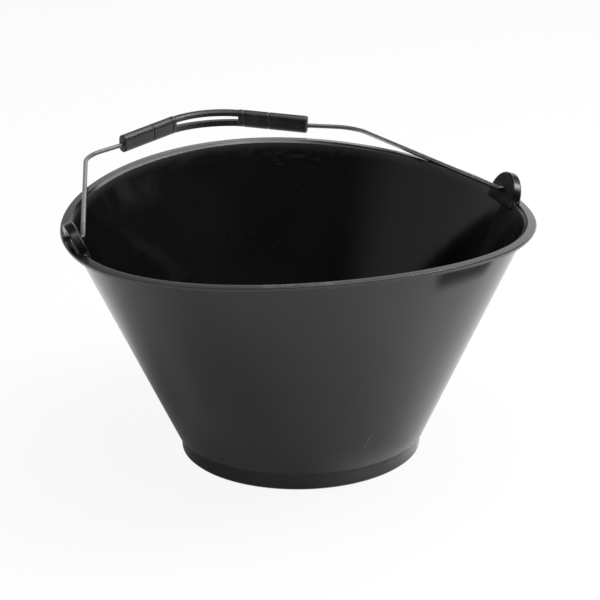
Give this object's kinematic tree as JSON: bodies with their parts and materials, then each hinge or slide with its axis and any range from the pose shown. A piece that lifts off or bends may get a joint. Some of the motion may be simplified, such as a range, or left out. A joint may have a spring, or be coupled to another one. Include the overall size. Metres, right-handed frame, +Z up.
{
  "type": "builders bucket",
  "caption": "Tapered black moulded bucket with a flanged saddle-shaped rim, two leaning ears and a swinging wire bail with a moulded hand grip, for carrying mortar, rubble or water.",
  "frame": {"origin": "middle of the foot's underside, on the surface that the bucket stands on", "axes": "+Z up through the mouth, X along the bail's pivot axis through both ears, +Y towards the side on which the bail lies"},
  "size_m": [0.3988, 0.4814, 0.2249],
  "materials": {
    "pail_plastic": "satin black moulded polyethylene, lightly scuffed",
    "bail_steel": "galvanised drawn wire",
    "grip_plastic": "satin black moulded plastic"
  },
  "bodies": {
    "bucket": {"bucket_shell": "pail_plastic"},
    "bail": {"bail_wire": "bail_steel", "hand_grip": "grip_plastic"}
  },
  "joints": [
    {"name": "bail_swing", "type": "hinge", "parent": "bucket", "child": "bail", "pos_m": [0, 0, 0.2067], "axis": [1, 0, 0], "range_deg": [0, 177.9]}
  ]
}
